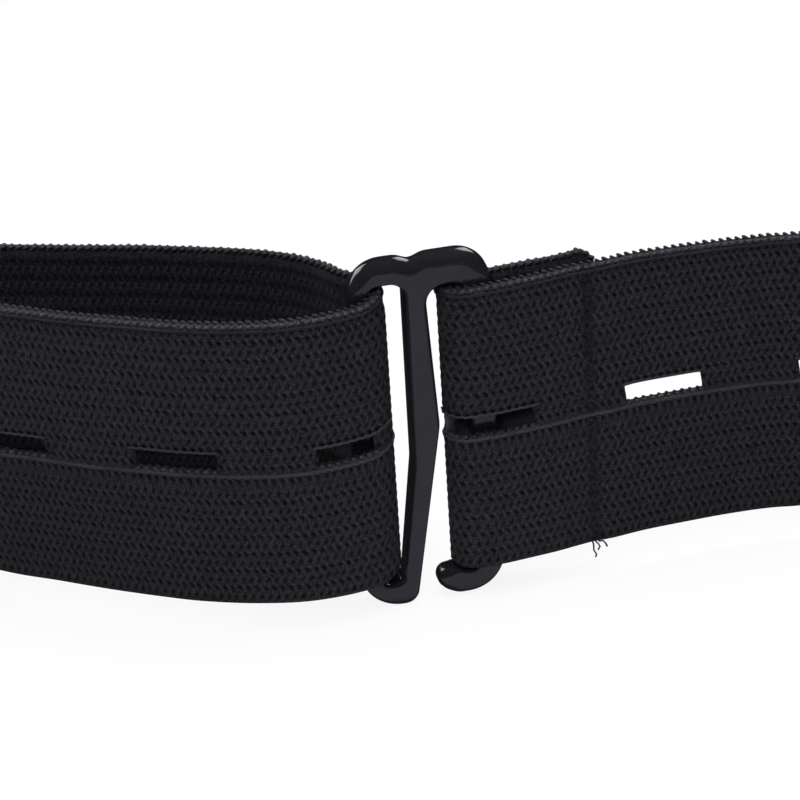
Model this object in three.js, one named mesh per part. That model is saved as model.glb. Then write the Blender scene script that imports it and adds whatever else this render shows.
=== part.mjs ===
// An elastic belt for holding a shirt down: a knitted buttonhole strip closed by a cast swan hook.
// Millimetres, +Z up. The ring stands on its lower edge with the hook at the front, facing -Y.
import * as THREE from 'three';
import { mergeVertices } from 'three/addons/utils/BufferGeometryUtils.js';

// Driving dimensions of the elastic strip
const BAND = {
  width: 38,
  thickness: 1.6,
  slotLength: 9.9,
  slotHeight: 2.35,
  slotPitch: 21.8,
  slotFromTop: 17,
  ridgeWidth: 1.1,
  ridgeProud: 0.35,
  edgeCordWidth: 1.1,
  edgeCordProud: 0.2,
};

// Driving dimensions of the hook
const HOOK = {
  thickness: 3.4,
  edgeRound: 0.8,
  limb: 3.2,
  leftLimb: 2.7,
  leftBarLean: 0.6,
  topDepth: 3.5,
  footDepth: 3.1,
  curlLift: 0.45,
  barCentre: 7.5,
  outerCorner: 4.3,
};

// Driving dimensions of the stud that holds the tail
const STUD = {
  headRadius: 5.6,
  headThickness: 1.4,
  slotsFromHook: 5,
};

// Driving dimensions of the ring, as seen from above
const RING = {
  halfWidth: 122,
  halfDepth: 119.4,
  centreRight: 22,
  frontBulge: 5.5,
  seamReach: 13.8,
  leftReach: 44,
  leftLoopDepth: 28,
  tailPastStud: 11,
};

// Clearances between touching pieces
const FIT = {
  bandToBar: 0.45,
  layerToLayer: 0.3,
  studToBand: 0.3,
  bandTopToHook: 0.4,
  bandFootToHook: 1.3,
};

// The strip leaves the floor between these shares of halfDepth, to reach the hook's foot
const LIFT = { from: 0.25, to: 0.95 };

// How finely things are stepped: the strip's longest step and most turn, the turn on the hook's corners,
// and the shortest side that its outline may have
const STEP = {
  longest: 7.5,
  shortest: 0.12,
  turn: THREE.MathUtils.degToRad(14),
  cornerTurn: THREE.MathUtils.degToRad(13),
};
const SEARCH_STEPS = 6000;

const halfThickness = BAND.thickness / 2;
const hookHeight = HOOK.footDepth + FIT.bandFootToHook + BAND.width + FIT.bandTopToHook + HOOK.topDepth;
const footAtHook = HOOK.footDepth + FIT.bandFootToHook;
const standOff = HOOK.thickness / 2 + FIT.bandToBar + halfThickness;

// The hook's outline

// Points of a closed outline through corners {x, z, r}, each one rounded by its own radius.
function roundedOutline(corners) {
  const points = [];
  corners.forEach((corner, index) => {
    const place = new THREE.Vector2(corner.x, corner.z);
    const before = corners[(index + corners.length - 1) % corners.length];
    const after = corners[(index + 1) % corners.length];
    const toBefore = new THREE.Vector2(before.x, before.z).sub(place).normalize();
    const toAfter = new THREE.Vector2(after.x, after.z).sub(place).normalize();
    const half = Math.acos(THREE.MathUtils.clamp(toBefore.dot(toAfter), -1, 1)) / 2;
    const centre = toBefore.clone().add(toAfter).normalize();
    centre.multiplyScalar(corner.r / Math.sin(half)).add(place);
    const start = toBefore.clone().multiplyScalar(corner.r / Math.tan(half)).add(place).sub(centre);
    const turn = Math.PI - 2 * half;
    const way = toBefore.cross(toAfter) < 0 ? 1 : -1;
    const steps = Math.max(2, Math.ceil(turn / STEP.cornerTurn));
    for (let step = 0; step <= steps; step += 1) {
      const point = start.clone().rotateAround(new THREE.Vector2(), way * turn * (step / steps)).add(centre);
      if (points.length === 0 || point.distanceTo(points[points.length - 1]) > STEP.shortest) {
        points.push(point);
      }
    }
  });
  return points;
}

function swanHook() {
  const half = HOOK.limb / 2;
  const leftHalf = HOOK.leftLimb / 2;
  const right = HOOK.barCentre;
  const left = -HOOK.barCentre;
  const top = hookHeight;
  const underTop = top - HOOK.topDepth;
  const underLeftTop = underTop + 0.2 * HOOK.topDepth;
  const foot = HOOK.footDepth;
  // The middle bar: straight above its knee, and leaning to the left below it
  const bar = {
    headLeft: -0.45 * HOOK.limb,
    headRight: 0.33 * HOOK.limb,
    kneeLeft: -0.49 * HOOK.limb,
    kneeRight: 0.61 * HOOK.limb,
    footLeft: -1.13 * HOOK.limb,
    footRight: -0.65 * HOOK.limb,
    kneeLeftHeight: 0.42 * hookHeight,
    kneeRightHeight: 0.52 * hookHeight,
  };
  const corner = HOOK.outerCorner;
  const tip = { left: 0.2 * HOOK.limb, top: 1.25 * foot, round: 0.3 * corner };
  const outline = new THREE.Shape(roundedOutline([
    { x: right + half, z: HOOK.curlLift, r: corner },
    { x: right + half, z: top, r: corner },
    { x: 0.41 * HOOK.limb, z: top, r: 0.7 * corner },
    { x: -0.12 * HOOK.limb, z: top - 0.2 * HOOK.topDepth, r: 0.3 * corner },
    { x: -0.63 * HOOK.limb, z: top, r: 0.7 * corner },
    { x: left - leftHalf + HOOK.leftBarLean, z: top, r: 1.07 * corner },
    { x: left - leftHalf - 0.5 * HOOK.leftBarLean, z: 0, r: corner },
    { x: bar.footRight, z: 0, r: 0.3 * corner },
    { x: bar.kneeRight, z: bar.kneeRightHeight, r: 1.6 * corner },
    { x: bar.headRight, z: underTop, r: 0.53 * corner },
    { x: right - half, z: underTop, r: 0.4 * corner },
    { x: right - half, z: foot, r: 0.25 * corner },
    { x: tip.left + 0.75 * HOOK.limb, z: tip.top, r: 0.35 * corner },
    { x: tip.left, z: tip.top, r: tip.round },
    { x: tip.left, z: HOOK.curlLift, r: tip.top - HOOK.curlLift - tip.round },
  ]));
  outline.holes.push(new THREE.Path(roundedOutline([
    { x: left + leftHalf - 0.5 * HOOK.leftBarLean, z: foot, r: 0.25 * corner },
    { x: left + leftHalf + 0.3 * HOOK.leftBarLean, z: underLeftTop, r: 0.35 * corner },
    { x: bar.headLeft, z: underLeftTop, r: 0.42 * corner },
    { x: bar.kneeLeft, z: bar.kneeLeftHeight, r: 1.6 * corner },
    { x: bar.footLeft, z: foot, r: 0.25 * corner },
  ])));
  const geometry = new THREE.ExtrudeGeometry(outline, {
    depth: HOOK.thickness - 2 * HOOK.edgeRound,
    bevelThickness: HOOK.edgeRound,
    bevelSize: HOOK.edgeRound,
    bevelOffset: -HOOK.edgeRound,
    bevelSegments: 3,
  });
  geometry.translate(0, 0, HOOK.edgeRound - HOOK.thickness / 2);
  geometry.rotateX(Math.PI / 2);
  return geometry;
}

// The strip's way, seen from above

// Right of the hook: out is a share of seamReach from the bar, back a share of the stand-off at the bar.
const RIGHT_FRONT = [
  { out: 0.03, back: -1.0 },
  { out: 0.3, back: -0.88 },
  { out: 0.57, back: -0.68 },
  { out: 0.86, back: -0.36 },
  { out: 1.11, back: -0.25 },
  { out: 1.43, back: -0.03 },
  { out: 1.84, back: 0.07 },
  { out: 2.24, back: 0.1 },
  { out: 2.63, back: 0.0 },
  { out: 2.93, back: -0.24 },
];

// Left of the hook, front layer: out is a share of leftReach from the bar, back of leftLoopDepth.
const LEFT_FRONT = [
  { out: 0.99, back: 0.554 },
  { out: 0.845, back: 0.389 },
  { out: 0.705, back: 0.232 },
  { out: 0.561, back: 0.086 },
  { out: 0.482, back: 0.014 },
  { out: 0.339, back: -0.082 },
  { out: 0.191, back: -0.14 },
  { out: 0.045, back: -0.132 },
];

// The same for the tail behind it, from the bar outwards.
const LEFT_TAIL = [
  { out: 0.008, back: 0.175 },
  { out: 0.057, back: 0.311 },
  { out: 0.123, back: 0.432 },
  { out: 0.218, back: 0.546 },
  { out: 0.345, back: 0.661 },
  { out: 0.475, back: 0.761 },
  { out: 0.607, back: 0.839 },
  { out: 0.741, back: 0.921 },
  { out: 0.875, back: 0.993 },
];

// The far part of the ring, as degrees round its oval
const OVAL = { from: -64, to: 220, points: 18 };

const at = (x, y) => new THREE.Vector3(x, y, 0);
const smoothWay = (points) => {
  const way = new THREE.CatmullRomCurve3(points, false, 'centripetal');
  way.arcLengthDivisions = 4000;
  return way;
};

// A fold round a bar, from its rear to its front or back again, as points on a half ellipse.
function fold(barX, outward, reach, fromAngle, toAngle, steps) {
  const points = [];
  for (let i = 0; i <= steps; i += 1) {
    const angle = THREE.MathUtils.degToRad(fromAngle + (toAngle - fromAngle) * (i / steps));
    points.push(at(barX + outward * reach * Math.cos(angle), standOff * Math.sin(angle)));
  }
  return points;
}

function ringWay() {
  const foldReach = HOOK.limb / 2 + FIT.bandToBar + halfThickness;
  const rightBar = HOOK.barCentre;
  const leftBar = -HOOK.barCentre;
  const layerStep = BAND.thickness + FIT.layerToLayer;
  const front = RIGHT_FRONT.map((row) => at(rightBar + row.out * RING.seamReach, row.back * standOff));
  const seamFrontY = (RIGHT_FRONT[3].back + RIGHT_FRONT[4].back) / 2 * standOff;
  const underLayer = [
    at(rightBar + 1.03 * RING.seamReach, seamFrontY + layerStep + 0.02 * RING.seamReach),
    at(rightBar + 0.8 * RING.seamReach, seamFrontY + layerStep + 0.01 * RING.seamReach),
    at(rightBar + 0.5 * RING.seamReach, (seamFrontY + layerStep + standOff) / 2),
    at(rightBar + 0.2 * RING.seamReach, 0.97 * standOff),
  ];
  const rightFold = fold(rightBar, -1, foldReach * 1.4, 90, -90, 6);
  const oval = [];
  for (let i = 0; i < OVAL.points; i += 1) {
    const share = i / (OVAL.points - 1);
    const angle = THREE.MathUtils.degToRad(OVAL.from + (OVAL.to - OVAL.from) * share);
    const x = RING.centreRight + RING.halfWidth * Math.cos(angle);
    const y = RING.halfDepth - RING.frontBulge + RING.halfDepth * Math.sin(angle);
    oval.push(at(x, y));
  }
  const leftPoint = (row) => at(leftBar - row.out * RING.leftReach, row.back * RING.leftLoopDepth);
  const leftFold = fold(leftBar, 1, foldReach, -60, 50, 4);
  const toStud = [...underLayer, ...rightFold, ...front.slice(1), ...oval, ...LEFT_FRONT.map(leftPoint),
    ...leftFold];
  const closed = smoothWay(toStud);
  const slots = slotsAlong(closed, rightBar + 0.065 * RING.seamReach, leftBar - 0.029 * RING.leftReach);
  // Past its loop the tail runs inside the ring, one layer and a clearance away from it
  const studPlace = slots.centres[slots.centres.length - 1 - STUD.slotsFromHook];
  const besideRing = [0.5, 0, -0.5, -1].map((share) => {
    const place = frameAt(closed, studPlace + share * RING.tailPastStud);
    return place.point.addScaledVector(place.outward, -layerStep);
  });
  const whole = smoothWay([...toStud, ...LEFT_TAIL.map(leftPoint), ...besideRing]);
  return { whole, closed, slots, studPlace };
}

// The way's point, heading and outward side at a length along it.
function frameAt(way, length) {
  const share = THREE.MathUtils.clamp(length / way.getLength(), 0, 1);
  const heading = way.getTangentAt(share);
  return { point: way.getPointAt(share), heading, outward: new THREE.Vector3(heading.y, -heading.x, 0) };
}

// Where along the way it passes x, on the side nearest the viewer.
function lengthAtX(way, x) {
  const total = way.getLength();
  let best = { miss: Infinity, length: 0 };
  for (let step = 0; step <= SEARCH_STEPS; step += 1) {
    const point = way.getPointAt(step / SEARCH_STEPS);
    const miss = Math.abs(point.x - x) + (point.y > -0.3 * standOff ? Infinity : 0);
    if (miss < best.miss) {
      best = { miss, length: total * (step / SEARCH_STEPS) };
    }
  }
  return best.length;
}

// Slots keep one pitch round the ring, from the one over the right bar to the one over the left bar.
function slotsAlong(way, firstX, lastX) {
  const first = lengthAtX(way, firstX);
  const last = lengthAtX(way, lastX);
  const gaps = Math.round((last - first) / BAND.slotPitch);
  const pitch = (last - first) / gaps;
  const centres = [];
  for (let i = 0; i <= gaps; i += 1) {
    centres.push(first + i * pitch);
  }
  return { centres, pitch };
}

// The elastic strip

// Half a turn of the ring lies flat on the floor, and the strip climbs to the hook's foot at the front.
function footHeight(y) {
  const share = y / RING.halfDepth;
  return footAtHook * (1 - THREE.MathUtils.smoothstep(share, LIFT.from, LIFT.to));
}

// The strip's section: height above its foot, and depth out of its middle.
function bandSection() {
  const slotTop = BAND.width - BAND.slotFromTop;
  const slotBottom = slotTop - BAND.slotHeight;
  const cordFoot = BAND.width - BAND.edgeCordWidth;
  return {
    points: [
      { up: 0, out: halfThickness },
      { up: slotBottom - BAND.ridgeWidth, out: halfThickness },
      { up: slotBottom - BAND.ridgeWidth / 2, out: halfThickness + BAND.ridgeProud },
      { up: slotBottom, out: halfThickness },
      { up: slotTop, out: halfThickness },
      { up: cordFoot, out: halfThickness },
      { up: cordFoot + 0.3 * BAND.edgeCordWidth, out: halfThickness + BAND.edgeCordProud },
      { up: BAND.width, out: halfThickness + 0.5 * BAND.edgeCordProud },
      { up: BAND.width, out: -halfThickness },
      { up: slotTop, out: -halfThickness },
      { up: slotBottom, out: -halfThickness },
      { up: 0, out: -halfThickness },
    ],
    slotOuter: 3,
    slotInner: 9,
  };
}

// Lengths along the strip where its section stands: each slot's ends, and enough between them to turn.
function bandStations(way, slotCentres) {
  const total = way.getLength();
  const knots = [{ length: 0, inSlot: false }];
  slotCentres.forEach((centre) => {
    knots.push({ length: centre - BAND.slotLength / 2, inSlot: true });
    knots.push({ length: centre + BAND.slotLength / 2, inSlot: false });
  });
  knots.push({ length: total, inSlot: false });
  const stations = [];
  for (let i = 0; i + 1 < knots.length; i += 1) {
    const from = knots[i];
    const span = knots[i + 1].length - from.length;
    let turn = 0;
    for (let probe = 0; probe < 8; probe += 1) {
      const here = frameAt(way, from.length + span * (probe / 8)).heading;
      turn += here.angleTo(frameAt(way, from.length + span * ((probe + 1) / 8)).heading);
    }
    const pieces = Math.max(1, Math.ceil(span / STEP.longest), Math.ceil(turn / STEP.turn));
    for (let piece = 0; piece < pieces; piece += 1) {
      stations.push({ length: from.length + span * (piece / pieces), inSlot: from.inSlot });
    }
  }
  stations.push({ length: total, inSlot: false });
  return stations;
}

function elasticBand(way, slotCentres) {
  const section = bandSection();
  const around = section.points.length;
  const stations = bandStations(way, slotCentres);
  const positions = [];
  stations.forEach((station) => {
    const place = frameAt(way, station.length);
    const foot = footHeight(place.point.y);
    section.points.forEach(({ up, out }) => {
      positions.push(place.point.x + place.outward.x * out, place.point.y + place.outward.y * out, foot + up);
    });
  });
  const faces = [];
  const quad = (a, b, c, d) => faces.push(a, b, c, a, c, d);
  const { slotOuter, slotInner } = section;
  const lowOut = slotOuter;
  const highOut = slotOuter + 1;
  const highIn = slotInner;
  const lowIn = slotInner + 1;
  for (let i = 0; i + 1 < stations.length; i += 1) {
    const here = i * around;
    const next = here + around;
    for (let k = 0; k < around; k += 1) {
      const beside = (k + 1) % around;
      if (!(stations[i].inSlot && (k === slotOuter || k === slotInner))) {
        quad(here + k, next + k, next + beside, here + beside);
      }
    }
    if (stations[i].inSlot) {
      quad(here + lowOut, next + lowOut, next + lowIn, here + lowIn);
      quad(here + highIn, next + highIn, next + highOut, here + highOut);
    }
    if (stations[i + 1].inSlot && !stations[i].inSlot) {
      quad(next + lowIn, next + highIn, next + highOut, next + lowOut);
    }
    if (stations[i].inSlot && !stations[i + 1].inSlot) {
      quad(next + lowOut, next + highOut, next + highIn, next + lowIn);
    }
  }
  const outline = section.points.map(({ up, out }) => new THREE.Vector2(out, up));
  const cap = THREE.ShapeUtils.triangulateShape(outline, []);
  const last = (stations.length - 1) * around;
  cap.forEach(([a, b, c]) => {
    faces.push(a, b, c);
    faces.push(last + c, last + b, last + a);
  });
  const geometry = new THREE.BufferGeometry();
  geometry.setAttribute('position', new THREE.Float32BufferAttribute(positions, 3));
  geometry.setIndex(faces);
  return geometry;
}

// The stud: a post through both layers with a flat head on either side.
function tailStud(way, place) {
  const proud = BAND.ridgeProud + FIT.studToBand;
  const outerSeat = halfThickness + proud;
  const innerSeat = -(halfThickness + FIT.layerToLayer + BAND.thickness + proud);
  const post = BAND.slotHeight / 2 - FIT.studToBand;
  const head = STUD.headRadius;
  const profile = [
    [0, innerSeat - STUD.headThickness],
    [head, innerSeat - STUD.headThickness],
    [head, innerSeat],
    [post, innerSeat],
    [post, outerSeat],
    [head, outerSeat],
    [head, outerSeat + STUD.headThickness],
    [0, outerSeat + STUD.headThickness],
  ].map(([radius, out]) => new THREE.Vector2(radius, out));
  const geometry = new THREE.LatheGeometry(profile, 24);
  const frame = frameAt(way, place);
  const slotMiddle = BAND.width - BAND.slotFromTop - BAND.slotHeight / 2;
  geometry.applyQuaternion(new THREE.Quaternion().setFromUnitVectors(new THREE.Vector3(0, 1, 0), frame.outward));
  geometry.translate(frame.point.x, frame.point.y, footHeight(frame.point.y) + slotMiddle);
  return geometry;
}

// Finishes
const elastic = new THREE.MeshStandardMaterial({ color: 0x232325, roughness: 0.9, metalness: 0 });
const blackCoat = new THREE.MeshStandardMaterial({ color: 0x1b1b1d, roughness: 0.25, metalness: 0.6 });
const blackPlastic = new THREE.MeshStandardMaterial({ color: 0x18181a, roughness: 0.5, metalness: 0 });

function piece(name, geometry, material) {
  geometry.deleteAttribute('normal');
  geometry.deleteAttribute('uv');
  const merged = mergeVertices(geometry, 1e-4);
  merged.computeVertexNormals();
  const mesh = new THREE.Mesh(merged, material);
  mesh.name = name;
  return mesh;
}

const { whole, closed, slots, studPlace } = ringWay();
// The tail's slots are counted from the stud back towards the hook
const tailStart = slots.centres[slots.centres.length - 1] + 0.6 * slots.pitch;
const tailSlots = [];
for (let centre = whole.getLength() - RING.tailPastStud; centre > tailStart; centre -= slots.pitch) {
  tailSlots.unshift(centre);
}

const belt = new THREE.Group();
belt.add(piece('elastic_band', elasticBand(whole, [...slots.centres, ...tailSlots]), elastic));
belt.add(piece('swan_hook', swanHook(), blackCoat));
belt.add(piece('tail_stud', tailStud(closed, studPlace), blackPlastic));

// The origin is under the middle of the ring
const box = new THREE.Box3().setFromObject(belt);
const middle = box.getCenter(new THREE.Vector3());
belt.position.set(-middle.x, -middle.y, -box.min.z);
belt.updateMatrixWorld(true);

export default belt;
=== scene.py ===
# A knitted elastic shirt-stay belt closed by a cast swan hook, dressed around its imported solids.
import math

import bmesh
import bpy
import numpy as np
from mathutils import Matrix, Vector


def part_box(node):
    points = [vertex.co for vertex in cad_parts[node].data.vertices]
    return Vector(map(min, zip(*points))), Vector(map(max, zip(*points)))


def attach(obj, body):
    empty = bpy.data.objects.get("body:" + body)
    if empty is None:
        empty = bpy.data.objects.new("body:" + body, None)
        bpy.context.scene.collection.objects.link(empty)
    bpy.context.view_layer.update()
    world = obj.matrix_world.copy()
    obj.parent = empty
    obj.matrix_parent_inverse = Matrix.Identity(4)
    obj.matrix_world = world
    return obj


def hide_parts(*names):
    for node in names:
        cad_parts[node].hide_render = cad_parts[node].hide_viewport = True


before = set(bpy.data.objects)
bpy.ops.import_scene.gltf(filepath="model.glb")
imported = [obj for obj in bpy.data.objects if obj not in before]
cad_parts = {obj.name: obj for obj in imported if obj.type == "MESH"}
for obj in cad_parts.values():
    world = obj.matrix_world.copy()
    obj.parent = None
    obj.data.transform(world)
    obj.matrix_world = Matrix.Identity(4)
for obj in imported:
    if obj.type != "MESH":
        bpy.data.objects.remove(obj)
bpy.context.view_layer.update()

MM = 0.001

# The part's own driving values, in millimetres
BAND_WIDTH = 38.0
BAND_THICKNESS = 1.6
SLOT_LENGTH = 9.9
SLOT_HEIGHT = 2.35
SLOT_PITCH = 21.8
SLOT_FROM_TOP = 17.0
HOOK_THICKNESS = 3.4
LIMB = 3.2
LEFT_LIMB = 2.7
LEFT_LEAN = 0.6
TOP_DEPTH = 3.5
FOOT_DEPTH = 3.1
CURL_LIFT = 0.45
BAR_CENTRE = 7.5
CORNER = 4.3
STUD_HEAD = 5.6
STUD_HEAD_THICKNESS = 1.4
STUD_SLOTS = 5
RING_HALF_WIDTH = 122.0
RING_HALF_DEPTH = 119.4
RING_CENTRE = 22.0
FRONT_BULGE = 5.5
SEAM_REACH = 13.8
LEFT_REACH = 44.0
LEFT_LOOP = 28.0
TAIL_PAST_STUD = 11.0
BAR_GAP = 0.45
LAYER_GAP = 0.3
STUD_GAP = 0.3
RIDGE_PROUD = 0.35
TOP_GAP = 0.4
FOOT_GAP = 1.3
LIFT_FROM = 0.25
LIFT_TO = 0.95

HALF = BAND_THICKNESS / 2
HOOK_HEIGHT = FOOT_DEPTH + FOOT_GAP + BAND_WIDTH + TOP_GAP + TOP_DEPTH
FOOT_AT_HOOK = FOOT_DEPTH + FOOT_GAP
STAND_OFF = HOOK_THICKNESS / 2 + BAR_GAP + HALF
LAYER_STEP = BAND_THICKNESS + LAYER_GAP
SLOT_TOP = BAND_WIDTH - SLOT_FROM_TOP
SLOT_FOOT = SLOT_TOP - SLOT_HEIGHT
SLOT_MIDDLE = (SLOT_FOOT + SLOT_TOP) / 2

# Where the hook's own frame lies in the row's frame
hook_low, hook_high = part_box("swan_hook")
HOOK_AT = np.array([
    hook_high.x / MM - BAR_CENTRE - LIMB / 2,
    (hook_low.y + hook_high.y) / 2 / MM,
    hook_low.z / MM,
])

# The dressed hook: how far its edges are rounded, and how much higher its crown stands
HOOK_EDGE = 0.5
HOOK_TOP_EDGE = 1.66
HOOK_TIP_EDGE = 1.15
HOOK_TOP_RISE = 0.55
HOOK_EDGE_STEPS = 9
HOOK_FACE_INSET = 0.12
HOOK_POINT_SPACING = 0.3

# The strip's way seen from above, as shares of the reaches
RIGHT_FRONT = [
    (0.03, -1.0), (0.3, -0.88), (0.57, -0.68), (0.86, -0.36), (1.11, -0.25),
    (1.43, -0.03), (1.84, 0.07), (2.24, 0.1), (2.63, 0.0), (2.93, -0.24),
    (3.51, -0.2),
]
LEFT_FRONT = [
    (0.99, 0.554), (0.845, 0.389), (0.705, 0.232), (0.561, 0.086), (0.482, 0.014),
    (0.339, -0.082), (0.191, -0.14), (0.045, -0.132),
]
LEFT_TAIL = [
    (0.008, 0.175), (0.057, 0.311), (0.123, 0.432), (0.218, 0.546), (0.345, 0.661),
    (0.475, 0.761), (0.607, 0.839), (0.741, 0.921), (0.875, 1.005),
    (1.0, 1.114), (1.13, 1.26),
]
OVAL_FROM, OVAL_TO, OVAL_POINTS = -64.0, 220.0, 18
RIGHT_FOLD_SHARE = 1.43
LEFT_FOLD_SHARE = 1.08
FIRST_SLOT_SHARE = 0.065
LAST_SLOT_SHARE = 0.029

# How the strip leaves that way: rows of where, and how far
BULGE = ((-95, -75, -51, -41, -32, -23, -12, -8), (0, 1.2, 1.7, 1.45, 0.75, 0.55, 0.2, 0))
HUG = ((4.5, 7, 13, 20), (0, 0.33, 0.33, 0))
FOLD_PINCH = ((2.0, 5.0, 8.5, 11.0), (0.0, 0.35, 0.35, 0.0))
PINCH_HEIGHT = 3.5
SEWN_RISE = ((0.0, 1.5, 4.0, 13.0, 19.0, 26.0), (-0.4, 1.1, 0.7, -0.65, -0.45, 0.0))
TAIL_RISE = ((-3.0, 2.0, 12.0, 30.0, 45.0), (0.0, 1.25, 1.0, 0.3, 0.2))
LEAN = 0.05
LEAN_STARTS = (24, 46)
LEAN_ENDS = (70, 110)

# The knit: columns run along the strip, rows across it
COLUMN = 1.0
ROW = 1.2
INNER_RIB = 2.2
STEP_ALONG = 1.1
ROW_RELIEF = 0.1
INNER_RELIEF = 0.16
EDGE_ROUNDING = 0.35
EDGE_REACH = 0.6
SEAM_DIP = 0.14
SEAM_WIDTH = 1.3
RIDGE_SHOWN = 0.1
RIDGE_AT = SLOT_FOOT - 0.6
BINDING_AT = BAND_WIDTH - 0.65

# The slots: their lips, and how some of them differ from the others
SLOT_GROWTH = 0.15
SLOT_SETTLE = 0.12
SLOT_SHEAR = 0.14
SHEAR_REACH = 2.2
LIP_REACH = 1.2
LIP_DROP = 0.22
LIP_DROP_REACH = SLOT_HEIGHT / 2 + 0.3
LIP_THINNING = 0.8
LIP_THINNING_REACH = SLOT_HEIGHT / 2 + 0.7
SEAM_SLOT = 1
SEAM_SLOT_CUT = 0.2
FOLD_SLOT_CUT = 2.9
FOLD_SLOT_START = 1.5
SEAM_SLOT_DRIFT = 0.17
NEXT_SLOT_DRIFT = 0.85
LEFT_SLOT_DRIFT = -0.1


# The way the strip takes

def smooth_way(points, per_span=260):
    """A centripetal curve through the points: its places and lengths, finely stepped."""
    p = np.array(points, float)
    p = np.vstack([2 * p[0] - p[1], p, 2 * p[-1] - p[-2]])
    places = []
    for i in range(1, len(p) - 2):
        knots = [0.0]
        for j in range(3):
            knots.append(knots[-1] + math.sqrt(np.linalg.norm(p[i + j] - p[i + j - 1])))
        t = np.linspace(knots[1], knots[2], per_span, endpoint=False)[:, None]
        a = [
            (knots[j + 1] - t) / (knots[j + 1] - knots[j]) * p[i - 1 + j]
            + (t - knots[j]) / (knots[j + 1] - knots[j]) * p[i + j]
            for j in range(3)
        ]
        b = [
            (knots[j + 2] - t) / (knots[j + 2] - knots[j]) * a[j]
            + (t - knots[j]) / (knots[j + 2] - knots[j]) * a[j + 1]
            for j in range(2)
        ]
        span = knots[2] - knots[1]
        places.append((knots[2] - t) / span * b[0] + (t - knots[1]) / span * b[1])
    places = np.vstack([*places, p[-2:-1]])
    steps = np.linalg.norm(np.diff(places, axis=0), axis=1)
    return places, np.concatenate([[0.0], np.cumsum(steps)])


class Way:
    """A smooth line seen from above, asked for by the length along it."""

    def __init__(self, points):
        self.places, self.lengths = smooth_way(points)
        self.total = self.lengths[-1]

    def at(self, length):
        x = np.interp(length, self.lengths, self.places[:, 0])
        y = np.interp(length, self.lengths, self.places[:, 1])
        return np.stack([x, y], -1)

    def heading(self, length, reach=0.05):
        ahead = np.clip(np.asarray(length) + reach, 0, self.total)
        behind = np.clip(np.asarray(length) - reach, 0, self.total)
        step = self.at(ahead) - self.at(behind)
        return step / np.linalg.norm(step, axis=-1, keepdims=True)

    def outward(self, length):
        heading = self.heading(length)
        return np.stack([heading[..., 1], -heading[..., 0]], -1)

    def length_at_x(self, x):
        """Where the way passes x, on the side nearest the viewer."""
        near = self.places[:, 1] < -0.3 * STAND_OFF
        miss = np.where(near, np.abs(self.places[:, 0] - x), np.inf)
        return self.lengths[int(np.argmin(miss))]


def fold(bar_x, outward, reach, start, end, steps):
    """Points round a bar, from one angle to the other."""
    angles = np.radians(np.linspace(start, end, steps + 1))
    return [(bar_x + outward * reach * math.cos(a), STAND_OFF * math.sin(a)) for a in angles]


def left_point(row):
    """A point left of the hook, from its shares of the reaches."""
    return (-BAR_CENTRE - row[0] * LEFT_REACH, row[1] * LEFT_LOOP)


def way_to_stud():
    """The ring from the sewn end, round the right bar, round the wearer and round the left bar."""
    seam_y = (RIGHT_FRONT[3][1] + RIGHT_FRONT[4][1]) / 2 * STAND_OFF
    under = [
        (BAR_CENTRE + 1.08 * SEAM_REACH, seam_y + LAYER_STEP + 0.02 * SEAM_REACH),
        (BAR_CENTRE + 0.8 * SEAM_REACH, seam_y + LAYER_STEP + 0.01 * SEAM_REACH),
        (BAR_CENTRE + 0.5 * SEAM_REACH, (seam_y + LAYER_STEP + STAND_OFF) / 2),
        (BAR_CENTRE + 0.2 * SEAM_REACH, 0.97 * STAND_OFF),
    ]
    reach = LIMB / 2 + BAR_GAP + HALF
    front = [(BAR_CENTRE + out * SEAM_REACH, back * STAND_OFF) for out, back in RIGHT_FRONT]
    oval = [
        (
            RING_CENTRE + RING_HALF_WIDTH * math.cos(a),
            RING_HALF_DEPTH - FRONT_BULGE + RING_HALF_DEPTH * math.sin(a),
        )
        for a in np.radians(np.linspace(OVAL_FROM, OVAL_TO, OVAL_POINTS))
    ]
    right_fold = fold(BAR_CENTRE, -1, reach * RIGHT_FOLD_SHARE, 90, -90, 6)
    left_fold = fold(-BAR_CENTRE, 1, reach * LEFT_FOLD_SHARE, -60, 50, 4)
    left_front = [left_point(row) for row in LEFT_FRONT]
    return [*under, *right_fold, *front[1:], *oval, *left_front, *left_fold]


def lay_out_ring():
    """The whole way, the slots' centres along it, where the stud is, and which slot is
    by the left fold."""
    to_stud = way_to_stud()
    closed = Way(to_stud)
    first = closed.length_at_x(BAR_CENTRE + FIRST_SLOT_SHARE * SEAM_REACH)
    last = closed.length_at_x(-BAR_CENTRE - LAST_SLOT_SHARE * LEFT_REACH)
    gaps = round((last - first) / SLOT_PITCH)
    centres = np.linspace(first, last, gaps + 1)
    pitch = (last - first) / gaps
    stud = centres[len(centres) - 1 - STUD_SLOTS]
    beside = []
    for share in (0.5, 0, -0.5, -1):
        length = stud + share * TAIL_PAST_STUD
        beside.append(tuple(closed.at(length) - closed.outward(length) * LAYER_STEP))
    whole = Way([*to_stud, *[left_point(row) for row in LEFT_TAIL], *beside])
    tail = np.arange(whole.total - TAIL_PAST_STUD, centres[-1] + 0.6 * pitch, -pitch)[::-1]
    left = len(centres) - 1
    centres[SEAM_SLOT] += SEAM_SLOT_DRIFT
    centres[SEAM_SLOT + 1] += NEXT_SLOT_DRIFT
    centres[left - 1] += LEFT_SLOT_DRIFT
    return whole, np.concatenate([centres, tail]), stud, left


def ease(x, start, end):
    """A smooth step from 0 at the start to 1 at the end."""
    t = np.clip((x - start) / (end - start), 0, 1)
    return t * t * (3 - 2 * t)


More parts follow.
